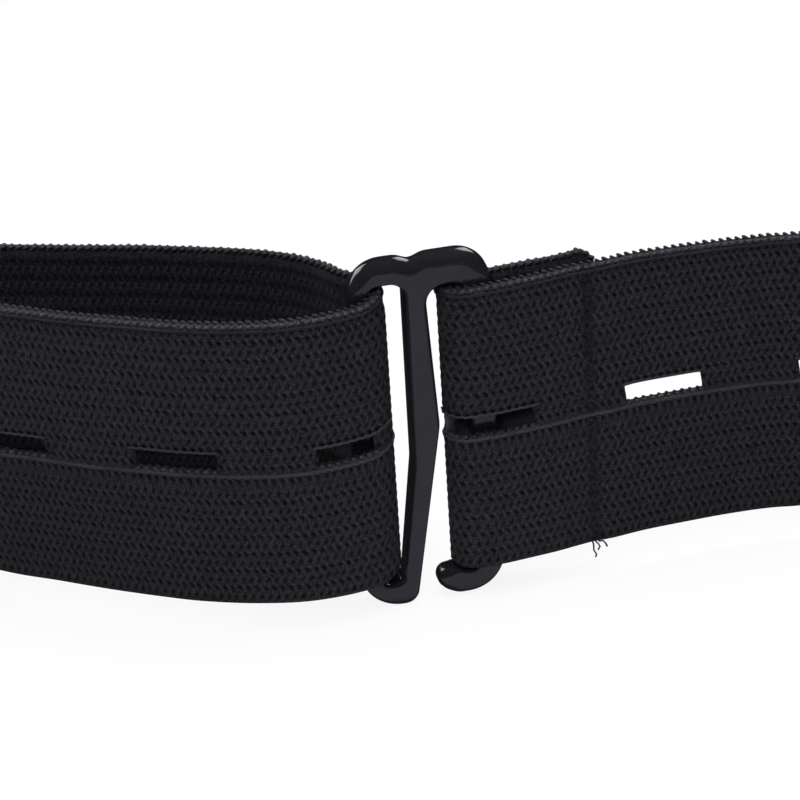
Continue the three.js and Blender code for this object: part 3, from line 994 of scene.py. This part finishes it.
def hook_outlines():
    """The outer outline and the left window's, as corners (x, z, radius) rounded in turn."""
    half, left_half = LIMB / 2, LEFT_LIMB / 2
    right, left = BAR_CENTRE, -BAR_CENTRE
    top, foot = HOOK_HEIGHT + HOOK_TOP_RISE, FOOT_DEPTH
    under = HOOK_HEIGHT - TOP_DEPTH
    under_left = under + 0.27 * TOP_DEPTH
    c = CORNER
    tip_left, tip_top = 0.17 * LIMB, 1.25 * foot
    outer = [
        (right + half, CURL_LIFT, 1.08 * c), (right + half, top, 0.95 * c), (0.41 * LIMB, top, 0.7 * c),
        (-0.12 * LIMB, top - 0.2 * TOP_DEPTH, 0.3 * c), (-0.63 * LIMB, top, 0.7 * c),
        (left - left_half + LEFT_LEAN, top, 1.02 * c),
        (left - left_half - 0.5 * LEFT_LEAN, 0.05, 1.2 * c), (-0.65 * LIMB, 0.15, 0.42 * c),
        (0.61 * LIMB, 0.52 * HOOK_HEIGHT, 1.6 * c), (0.33 * LIMB, under, 0.53 * c),
        (right - half, under, 0.4 * c), (right - half, foot, 0.25 * c),
        (tip_left + 0.75 * LIMB, tip_top, 0.35 * c), (tip_left + 0.55, tip_top, 1.35),
        (tip_left - 0.05, 2.1, 1.4), (tip_left + 1.56, CURL_LIFT, 2.4),
    ]
    window = [
        (left + left_half - 0.5 * LEFT_LEAN, foot, 0.25 * c),
        (left + left_half + 0.3 * LEFT_LEAN, under_left, 0.35 * c),
        (-0.45 * LIMB, under_left, 0.42 * c), (-0.49 * LIMB, 0.42 * HOOK_HEIGHT, 1.6 * c),
        (-1.13 * LIMB, foot, 0.25 * c),
    ]
    return rounded_outline(outer), rounded_outline(window)


def even_out(points, spacing=HOOK_POINT_SPACING):
    """The same closed outline with its points evenly spaced."""
    closed = np.vstack([points, points[:1]])
    lengths = np.concatenate([[0], np.cumsum(np.linalg.norm(np.diff(closed, axis=0), axis=1))])
    count = int(lengths[-1] / spacing)
    marks = np.linspace(0, lengths[-1], count, endpoint=False)
    return np.stack([np.interp(marks, lengths, closed[:, i]) for i in (0, 1)], 1)


def inward_normals(points, inside):
    """Directions into the metal, from the outer outline or from the window's."""
    ahead = np.roll(points, -1, axis=0) - np.roll(points, 1, axis=0)
    ahead /= np.linalg.norm(ahead, axis=1, keepdims=True)
    area = np.sum(points[:, 0] * np.roll(points[:, 1], -1) - np.roll(points[:, 0], -1) * points[:, 1])
    normals = np.stack([-ahead[:, 1], ahead[:, 0]], 1) * math.copysign(1, area)
    return normals if inside else -normals


def edge_widths(outline):
    """How far the outer edge is rounded at each point: more along the crown and round the curl's tip."""
    x, z = outline[:, 0], outline[:, 1]
    at_top = ease(z, HOOK_HEIGHT - 3.6, HOOK_HEIGHT - 1.0)
    at_tip = (1 - ease(x, 2.0, 3.6)) * ease(x, -0.4, 0.2) * (1 - ease(z, 5, 6))
    edge = HOOK_EDGE + (HOOK_TOP_EDGE - HOOK_EDGE) * at_top
    return edge + (HOOK_TIP_EDGE - HOOK_EDGE) * at_tip


def build_hook(material):
    """Each outline is carried round a half-round edge, and its flat faces are filled."""
    flat = HOOK_THICKNESS / 2
    turns = [math.radians(90 - 90 * i / HOOK_EDGE_STEPS) for i in range(HOOK_EDGE_STEPS + 1)]
    profile = [(1.0, 0.0, HOOK_FACE_INSET)]
    profile += [(1 - math.cos(a), 1 - math.sin(a), 0.0) for a in turns]
    profile = [(*row, 1) for row in profile] + [(*row, -1) for row in reversed(profile)]
    bm = bmesh.new()
    front_edges, back_edges = [], []
    for outline, inside in zip(hook_outlines(), (True, False)):
        outline = even_out(outline)
        normals = inward_normals(outline, inside)
        edge = edge_widths(outline) if inside else np.full(len(outline), HOOK_EDGE)
        rings = []
        for depth, drop, extra, side in profile:
            places = outline + normals * (edge * depth + extra)[:, None]
            outs = side * (flat - edge * drop)
            rings.append([
                bm.verts.new(((x + HOOK_AT[0]) * MM, (HOOK_AT[1] - out) * MM, (z + HOOK_AT[2]) * MM))
                for (x, z), out in zip(places, outs)
            ])
        for upper, lower in zip(rings, rings[1:]):
            for i in range(len(upper)):
                j = (i + 1) % len(upper)
                bm.faces.new((upper[i], upper[j], lower[j], lower[i]))
        for ring, edges in ((rings[0], front_edges), (rings[-1], back_edges)):
            for i in range(len(ring)):
                edges.append(bm.edges.get((ring[i], ring[(i + 1) % len(ring)])))
    for edges in (front_edges, back_edges):
        bmesh.ops.triangle_fill(bm, edges=edges, use_beauty=True)
    bmesh.ops.recalc_face_normals(bm, faces=bm.faces)
    mesh = bpy.data.meshes.new("enamelled_hook")
    bm.to_mesh(mesh)
    bm.free()
    mesh.polygons.foreach_set("use_smooth", [True] * len(mesh.polygons))
    mesh.materials.append(material)
    return piece("enamelled_hook", mesh)


# The stud

def build_stud(material):
    """Two rimmed heads on a post through both layers, turned round its middle."""
    outer_seat = HALF + RIDGE_PROUD + STUD_GAP
    inner_seat = -(HALF + LAYER_GAP + BAND_THICKNESS + RIDGE_PROUD + STUD_GAP)
    post = SLOT_HEIGHT / 2 - STUD_GAP
    head, thick = STUD_HEAD, STUD_HEAD_THICKNESS
    profile = [
        (0.0, inner_seat - thick), (head - 1.0, inner_seat - thick),
        (head - 0.35, inner_seat - thick + 0.12), (head - 0.05, inner_seat - thick + 0.5),
        (head, inner_seat - 0.35), (head - 0.2, inner_seat), (post + 0.3, inner_seat),
        (post, inner_seat + 0.3), (post, outer_seat - 0.3), (post + 0.3, outer_seat),
        (head - 0.2, outer_seat), (head, outer_seat + 0.35), (head - 0.05, outer_seat + thick - 0.5),
        (head - 0.35, outer_seat + thick - 0.12), (head - 1.0, outer_seat + thick),
        (head - 1.6, outer_seat + thick - 0.25), (2.4, outer_seat + thick - 0.25),
        (1.7, outer_seat + thick), (0.0, outer_seat + thick),
    ]
    centre = WAY.at(STUD_AT)
    outward = WAY.outward(STUD_AT)
    along = np.array([-outward[1], outward[0]])
    middle = float(foot_height(centre[1])) + SLOT_MIDDLE
    around = 72
    points, faces = [], []
    for radius, out in profile:
        for i in range(around if radius else 1):
            a = 2 * math.pi * i / around
            place = centre + along * radius * math.cos(a) + outward * out
            points.append((
                (place[0] + HOOK_AT[0]) * MM, (place[1] + HOOK_AT[1]) * MM,
                (middle + radius * math.sin(a) + HOOK_AT[2]) * MM,
            ))
    rings = len(profile) - 2
    for i in range(around):
        j = (i + 1) % around
        faces.append((0, 1 + j, 1 + i))
        for ring in range(rings - 1):
            a, b = 1 + ring * around, 1 + (ring + 1) * around
            faces.append((a + i, a + j, b + j, b + i))
        last = 1 + (rings - 1) * around
        faces.append((last + i, last + j, len(points) - 1))
    mesh = bpy.data.meshes.new("tail_stud_moulded")
    mesh.from_pydata(points, [], faces)
    face_outwards(mesh)
    mesh.polygons.foreach_set("use_smooth", [True] * len(mesh.polygons))
    mesh.materials.append(material)
    return piece("tail_stud_moulded", mesh)


def face_outwards(mesh):
    """Merge doubled points, then turn every face outwards."""
    bm = bmesh.new()
    bm.from_mesh(mesh)
    bmesh.ops.remove_doubles(bm, verts=bm.verts, dist=1e-7)
    bmesh.ops.recalc_face_normals(bm, faces=bm.faces)
    bm.to_mesh(mesh)
    bm.free()


# Beaded cords along the strip

def beads_tree():
    """Beads laid slanting along a line, like the turns of an overlocked edge."""
    tree = bpy.data.node_groups.new("edge_beads", "GeometryNodeTree")
    face = tree.interface
    face.new_socket("Line", in_out="INPUT", socket_type="NodeSocketGeometry")
    for label, value in (("Spacing", 1.0 * MM), ("Bead Length", 1.2 * MM), ("Bead Width", 0.6 * MM),
                         ("Bead Depth", 0.6 * MM), ("Lean", 0.6), ("Unevenness", 0.12)):
        socket = face.new_socket(label, in_out="INPUT", socket_type="NodeSocketFloat")
        socket.default_value = value
    seed = face.new_socket("Seed", in_out="INPUT", socket_type="NodeSocketInt")
    seed.default_value = 7
    face.new_socket("Yarn", in_out="INPUT", socket_type="NodeSocketMaterial")
    face.new_socket("Beads", in_out="OUTPUT", socket_type="NodeSocketGeometry")
    given = add_node(tree, "NodeGroupInput").outputs
    leave = add_node(tree, "NodeGroupOutput").inputs
    line = add_node(tree, "GeometryNodeMeshToCurve")
    feed(tree, line.inputs["Mesh"], given["Line"])
    spaced = add_node(tree, "GeometryNodeResampleCurve")
    spaced.mode = "LENGTH"
    feed(tree, spaced.inputs["Curve"], line.outputs["Curve"])
    feed(tree, spaced.inputs["Length"], given["Spacing"])
    bead = add_node(tree, "GeometryNodeMeshUVSphere")
    bead.inputs["Segments"].default_value = 8
    bead.inputs["Rings"].default_value = 5
    bead.inputs["Radius"].default_value = 0.5
    sizes = add_node(tree, "ShaderNodeCombineXYZ")
    feed(tree, sizes.inputs["X"], given["Bead Width"])
    feed(tree, sizes.inputs["Y"], given["Bead Depth"])
    feed(tree, sizes.inputs["Z"], given["Bead Length"])
    shaped = add_node(tree, "GeometryNodeTransform")
    feed(tree, shaped.inputs["Geometry"], bead.outputs["Mesh"])
    feed(tree, shaped.inputs["Scale"], sizes.outputs[0])
    leaned = add_node(tree, "GeometryNodeTransform")
    turn = add_node(tree, "ShaderNodeCombineXYZ")
    feed(tree, turn.inputs["Y"], given["Lean"])
    feed(tree, leaned.inputs["Geometry"], shaped.outputs["Geometry"])
    feed(tree, leaned.inputs["Rotation"], turn.outputs[0])
    tangent = add_node(tree, "GeometryNodeInputTangent")
    faced = add_node(tree, "FunctionNodeAxesToRotation")
    faced.primary_axis = "X"
    faced.secondary_axis = "Z"
    feed(tree, faced.inputs[0], tangent.outputs[0])
    faced.inputs[1].default_value = (0.0, 0.0, 1.0)
    low = minus(tree, 1.0, given["Unevenness"])
    high = plus(tree, 1.0, given["Unevenness"])
    varied = add_node(tree, "FunctionNodeRandomValue", data_type="FLOAT")
    for socket in varied.inputs:
        if socket.name == "Min" and socket.type == "VALUE":
            feed(tree, socket, low)
        if socket.name == "Max" and socket.type == "VALUE":
            feed(tree, socket, high)
        if socket.name == "Seed":
            feed(tree, socket, given["Seed"])
    scale = next(s for s in varied.outputs if s.type == "VALUE" and s.enabled)
    laid = add_node(tree, "GeometryNodeInstanceOnPoints")
    feed(tree, laid.inputs["Points"], spaced.outputs["Curve"])
    feed(tree, laid.inputs["Instance"], leaned.outputs["Geometry"])
    feed(tree, laid.inputs["Rotation"], faced.outputs[0])
    feed(tree, laid.inputs["Scale"], scale)
    real = add_node(tree, "GeometryNodeRealizeInstances")
    feed(tree, real.inputs["Geometry"], laid.outputs["Instances"])
    smooth = add_node(tree, "GeometryNodeSetShadeSmooth")
    feed(tree, smooth.inputs["Geometry"], real.outputs["Geometry"])
    painted = add_node(tree, "GeometryNodeSetMaterial")
    feed(tree, painted.inputs["Geometry"], smooth.outputs["Geometry"])
    feed(tree, painted.inputs["Material"], given["Yarn"])
    feed(tree, leave["Beads"], painted.outputs["Geometry"])
    return tree


def guide_line(name, runs):
    """A plain edge mesh through each run of points."""
    points, edges = [], []
    for run in runs:
        start = len(points)
        points += [tuple(p) for p in run]
        edges += [(start + i, start + i + 1) for i in range(len(run) - 1)]
    mesh = bpy.data.meshes.new(name)
    mesh.from_pydata(points, edges, [])
    return piece(name, mesh)


def lay_beads(name, tree, runs, yarn, sizes, lean, unevenness, seed):
    """Beads along the runs; sizes are their spacing, length, width and depth in millimetres."""
    guide = guide_line(name + "_guide", runs)
    modifier = guide.modifiers.new("beads", "NODES")
    modifier.node_group = tree
    given = dict(zip(("Spacing", "Bead Length", "Bead Width", "Bead Depth"), (s * MM for s in sizes)))
    given.update({"Lean": lean, "Unevenness": unevenness, "Seed": seed, "Yarn": yarn})
    for item in tree.interface.items_tree:
        if item.in_out == "INPUT" and item.name in given:
            modifier[item.identifier] = given[item.name]
    bpy.context.view_layer.update()
    graph = bpy.context.evaluated_depsgraph_get()
    mesh = bpy.data.meshes.new_from_object(guide.evaluated_get(graph))
    mesh.name = name
    bpy.data.objects.remove(guide)
    if not mesh.materials:
        mesh.materials.append(yarn)
    return piece(name, mesh)


def run_along(start, end, up, out, step=0.5):
    """A straight run along the strip at one height."""
    lengths = np.arange(start, end, step)
    return strip_point(lengths, np.full(len(lengths), float(up)), np.full(len(lengths), float(out)))


def thread_along(start, end, up, out, sway=0.05):
    """A yarn that runs along the strip and sways with the columns."""
    lengths = np.arange(start, end, 0.25 * COLUMN)
    turn = 2 * math.pi * lengths / COLUMN
    return strip_point(lengths, up + sway * np.sin(turn), out + 0.5 * sway * np.cos(turn))


def build_edges(tree, yarn, pale, start, end):
    """The crests and beads of the upper edge, the beads of the lower one, and those of the ridge."""
    ridge_out = HALF + RIDGE_SHOWN - 0.14
    # Name, how high and how far out it runs, yarn, sizes, lean, unevenness and seed
    rows = (
        ("top_edge_crests", BAND_WIDTH - 0.02, -0.4, yarn, (0.98, 0.98, 0.46, 0.8), -1.0, 0.12, 3),
        ("top_edge_beads", BAND_WIDTH - 0.16, 0.5, pale, (0.98, 0.45, 0.6, 0.6), -0.35, 0.25, 4),
        ("foot_edge_beads", 0.5, 0.0, yarn, (1.0, 0.85, 0.7, 1.4), 0.3, 0.12, 5),
        ("slot_ridge_beads", RIDGE_AT, ridge_out, pale, (0.98, 0.34, 0.88, 0.36), -0.2, 0.15, 6),
    )
    return [
        lay_beads(name, tree, [run_along(start, end, up, out)], made_of, sizes, lean, unevenness, seed)
        for name, up, out, made_of, sizes, lean, unevenness, seed in rows
    ]


def build_lips(tree, yarn, pale):
    """The teeth and the beads along the foot of each slot."""
    teeth, beads = [], []
    shift = SLOT_SHEAR * SLOT_HEIGHT / 2
    foot = SLOT_FOOT - 0.08 - SLOT_SETTLE
    for first, last in zip(SLOT_STARTS, SLOT_ENDS):
        teeth.append(run_along(first + shift + 0.5, last + shift, foot, 0.12))
        beads.append(run_along(first + shift + 0.2, last + shift, foot, HALF - 0.28))
    return [
        lay_beads("slot_lip_teeth", tree, teeth, yarn, (0.98, 0.85, 0.44, 0.6), -0.95, 0.15, 11),
        lay_beads("slot_lip_beads", tree, beads, pale, (0.98, 0.38, 0.6, 0.62), -0.1, 0.25, 13),
    ]


def lines_over_slots():
    """The yarn along the top of each slot; at the left fold it ends with the shortened slot."""
    lines = []
    up = SLOT_TOP + 0.38 - SLOT_SETTLE
    for first, last in zip(SLOT_STARTS, SLOT_ENDS):
        past = 0.5 + (FOLD_SLOT_CUT - 0.8 if last == SLOT_ENDS[LEFT_SLOT] else 0)
        lines.append(thread_along(first - 0.5, last + past, up, HALF - 0.02, 0.09))
    return lines


def build_cords(yarn, pale):
    """Beads at both edges and at the slots' lips, and the yarns laid along them."""
    tree = beads_tree()
    start, end = 0.4, WAY.total - 0.4
    bound = thread_along(start, end, BINDING_AT, HALF, 0.07)
    ridge = thread_along(start, end, RIDGE_AT, HALF + RIDGE_SHOWN - 0.19, 0.07)
    return [
        *build_edges(tree, yarn, pale, start, end),
        *build_lips(tree, yarn, pale),
        tube_mesh("top_binding_yarn", [bound], 0.22 * MM, yarn, 6),
        tube_mesh("slot_ridge_yarn", [ridge], 0.23 * MM, pale, 6),
        tube_mesh("slot_lip_yarns", lines_over_slots(), 0.16 * MM, pale, 6),
    ]


# Sewing at the end of the strip

def tube_mesh(name, runs, radius, material, sides=8):
    """Round threads through runs of points, closed at both ends."""
    points, faces = [], []
    for run in runs:
        run = np.asarray(run, float)
        tangents = np.gradient(run, axis=0)
        tangents /= np.linalg.norm(tangents, axis=1, keepdims=True)
        side = np.cross(tangents[0], (0.3, 0.2, 1.0))
        side /= np.linalg.norm(side)
        start = len(points)
        for place, heading in zip(run, tangents):
            side = side - heading * float(side @ heading)
            side /= np.linalg.norm(side)
            other = np.cross(heading, side)
            for i in range(sides):
                a = 2 * math.pi * i / sides
                points.append(tuple(place + radius * (math.cos(a) * side + math.sin(a) * other)))
        for ring in range(len(run) - 1):
            a, b = start + ring * sides, start + (ring + 1) * sides
            for i in range(sides):
                j = (i + 1) % sides
                faces.append((a + i, a + j, b + j, b + i))
        faces.append(tuple(start + i for i in reversed(range(sides))))
        last = start + (len(run) - 1) * sides
        faces.append(tuple(last + i for i in range(sides)))
    mesh = bpy.data.meshes.new(name)
    mesh.from_pydata(points, [], faces)
    mesh.polygons.foreach_set("use_smooth", [True] * len(faces))
    mesh.materials.append(material)
    return piece(name, mesh)


def seam_runs():
    """A zigzag of short stitches up the seam."""
    runs = []
    up = 0.8
    turn = 1
    while up < BAND_WIDTH - 0.6:
        share = np.linspace(0, 1, 7)
        across = SEAM_AT + turn * (share - 0.5) * 0.55
        depth = HALF - 0.35 + 0.3 * np.sin(math.pi * share)
        runs.append(strip_point(across, up + share * 0.95, depth))
        up += 0.95
        turn = -turn
    return runs


def build_sewing(thread):
    """The zigzag of the seam, and the loose ends below it."""
    seam = tube_mesh("seam_stitches", seam_runs(), 0.13 * MM, thread)
    foot = strip_point(np.array(SEAM_AT - 0.6), np.array(0.3), np.array(HALF))
    ends = [
        [(0, 0, 0.4), (0.15, -0.3, -0.2), (0.1, -0.5, -0.9), (0.4, -0.55, -1.5), (0.3, -0.5, -1.9)],
        [(0.5, 0, 0.5), (0.9, -0.4, 0.2), (1.3, -0.6, 0.3), (1.6, -0.6, -0.1), (1.8, -0.6, -0.6)],
        [(0.3, 0, 0.3), (0.7, -0.4, -0.1), (0.9, -0.5, -0.5), (0.6, -0.6, -0.9)],
    ]
    runs = [[foot + np.array(p) * MM for p in end] for end in ends]
    loose = tube_mesh("loose_threads", runs, 0.11 * MM, thread)
    return [seam, loose]


# The floor, the lights and the camera

# The view, as measured on the photograph: its distance in metres, the rest in pixels
ELEVATION = math.radians(28)
AZIMUTH = math.radians(11.5)
ROLL = math.radians(3.5)
DISTANCE = 0.45
FOCAL_PIXELS = 3717
PHOTO = 800
HOOK_PIXEL = (422, 425)
AIM_HEIGHT = 23.79


def build_floor(material):
    bpy.ops.mesh.primitive_plane_add(size=8)
    floor = bpy.context.object
    floor.name = "floor"
    floor.data.materials.append(material)
    return floor


def set_camera():
    """The photograph's view: from above, and from a little to the hook's left."""
    target = Vector((HOOK_AT[0] * MM, HOOK_AT[1] * MM, (HOOK_AT[2] + AIM_HEIGHT) * MM))
    back = Vector((
        -math.sin(AZIMUTH) * math.cos(ELEVATION),
        -math.cos(AZIMUTH) * math.cos(ELEVATION),
        math.sin(ELEVATION),
    ))
    right = Vector((0, 0, 1)).cross(back).normalized()
    up = back.cross(right)
    rolled = right * math.cos(ROLL) - up * math.sin(ROLL)
    upright = right * math.sin(ROLL) + up * math.cos(ROLL)
    data = bpy.data.cameras.new("camera")
    data.sensor_width = 36
    data.lens = FOCAL_PIXELS * 36 / PHOTO
    data.shift_x = -(HOOK_PIXEL[0] - PHOTO / 2) / PHOTO
    data.shift_y = (HOOK_PIXEL[1] - PHOTO / 2) / PHOTO
    camera = bpy.data.objects.new("camera", data)
    bpy.context.scene.collection.objects.link(camera)
    turn = Matrix((rolled, upright, back)).transposed().to_4x4()
    camera.matrix_world = Matrix.Translation(target + back * DISTANCE) @ turn
    bpy.context.scene.camera = camera


# Soft lights, out of sight of the gloss: name, place, size, power
SOFT_LIGHTS = (
    ("overhead", (0.1, -0.1, 1.4), 1.5, 30),
    ("front_soft", (-0.5, -1.2, 1.0), 0.6, 10),
)
# Lights that only draw streaks on the gloss: name, degrees round and up from the hook, width, height
REAR_LIGHTS = (
    ("rear_right", 45, 38, 0.55, 0.7),
    ("rear_left", -47, 31, 0.8, 0.6),
)
REAR_REACH = 1.2
REAR_GLOW = 11.0
WORLD_LIGHT = 0.75
WORLD_IN_GLOSS = 0.07


def add_light(name, place, aim, size, power, height=None):
    data = bpy.data.lights.new(name, "AREA")
    data.energy = power
    data.shape = "RECTANGLE"
    data.size = size
    data.size_y = height or size
    light = bpy.data.objects.new(name, data)
    light.location = place
    light.rotation_euler = (Vector(aim) - Vector(place)).to_track_quat("-Z", "Y").to_euler()
    bpy.context.scene.collection.objects.link(light)
    return light


def set_lights():
    """A white room, two soft lights, and two that draw the hook's streaks."""
    world = bpy.data.worlds.new("studio")
    world.use_nodes = True
    tree = world.node_tree
    shade = tree.nodes["Background"]
    rays = add_node(tree, "ShaderNodeLightPath")
    strength = blend_number(tree, rays.outputs["Is Glossy Ray"], WORLD_LIGHT, WORLD_IN_GLOSS)
    feed(tree, shade.inputs["Strength"], strength)
    bpy.context.scene.world = world
    for name, place, size, power in SOFT_LIGHTS:
        add_light(name, place, (0, -0.1, 0), size, power).visible_glossy = False
    hook = Vector((HOOK_AT[0] * MM, HOOK_AT[1] * MM, 0.045))
    for name, azimuth, height, wide, tall in REAR_LIGHTS:
        a, e = math.radians(azimuth), math.radians(height)
        way = Vector((math.sin(a) * math.cos(e), math.cos(a) * math.cos(e), math.sin(e)))
        power = REAR_GLOW * wide * tall
        add_light(name, hook + way * REAR_REACH, hook, wide, power, tall).visible_diffuse = False
    bpy.context.scene.view_settings.view_transform = "Standard"


# Putting it together

def dress():
    """Make every finish and piece, hide the imported solids, and attach each piece to the root body."""
    knit = knit_group()
    wear = wear_group()
    outer = knit_material("knit_outer", knit, light=0.0106, painted_gap_shade=0.0005, relief=0.34, painted_light=False)
    inner = knit_material("knit_inner", knit, light=0.0078, painted_gap_shade=0.0055, relief=0.1, painted_light=True,
                          Row=INNER_RIB / 2, Gap_Width=0.18, Gap_Height=0.28, Seam_At=-50.0,
                          Stretch=0.0, Crest=0.6, Binding_At=BAND_WIDTH - 1.7, Bands=0.2)
    edge = yarn_material("edge_yarn", wear, light=0.012, smooth=0.4, rough_most=0.65, specular=0.4)
    pale = yarn_material("corded_yarn", wear, light=0.028, smooth=0.18, rough_most=0.45, specular=0.7)
    thread = yarn_material("sewing_thread", wear, light=0.011, smooth=0.2, rough_most=0.45, specular=0.7)
    strip = build_strip([outer, inner])
    cords = build_cords(edge, pale)
    sewing = build_sewing(thread)
    hook = build_hook(coat_material(wear))
    stud = build_stud(plastic_material(wear))
    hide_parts("elastic_band")
    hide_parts("swan_hook")
    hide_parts("tail_stud")
    for item in (strip, hook, stud, *cords, *sewing):
        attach(item, "root")
    build_floor(floor_material(wear))


dress()
set_lights()
set_camera()
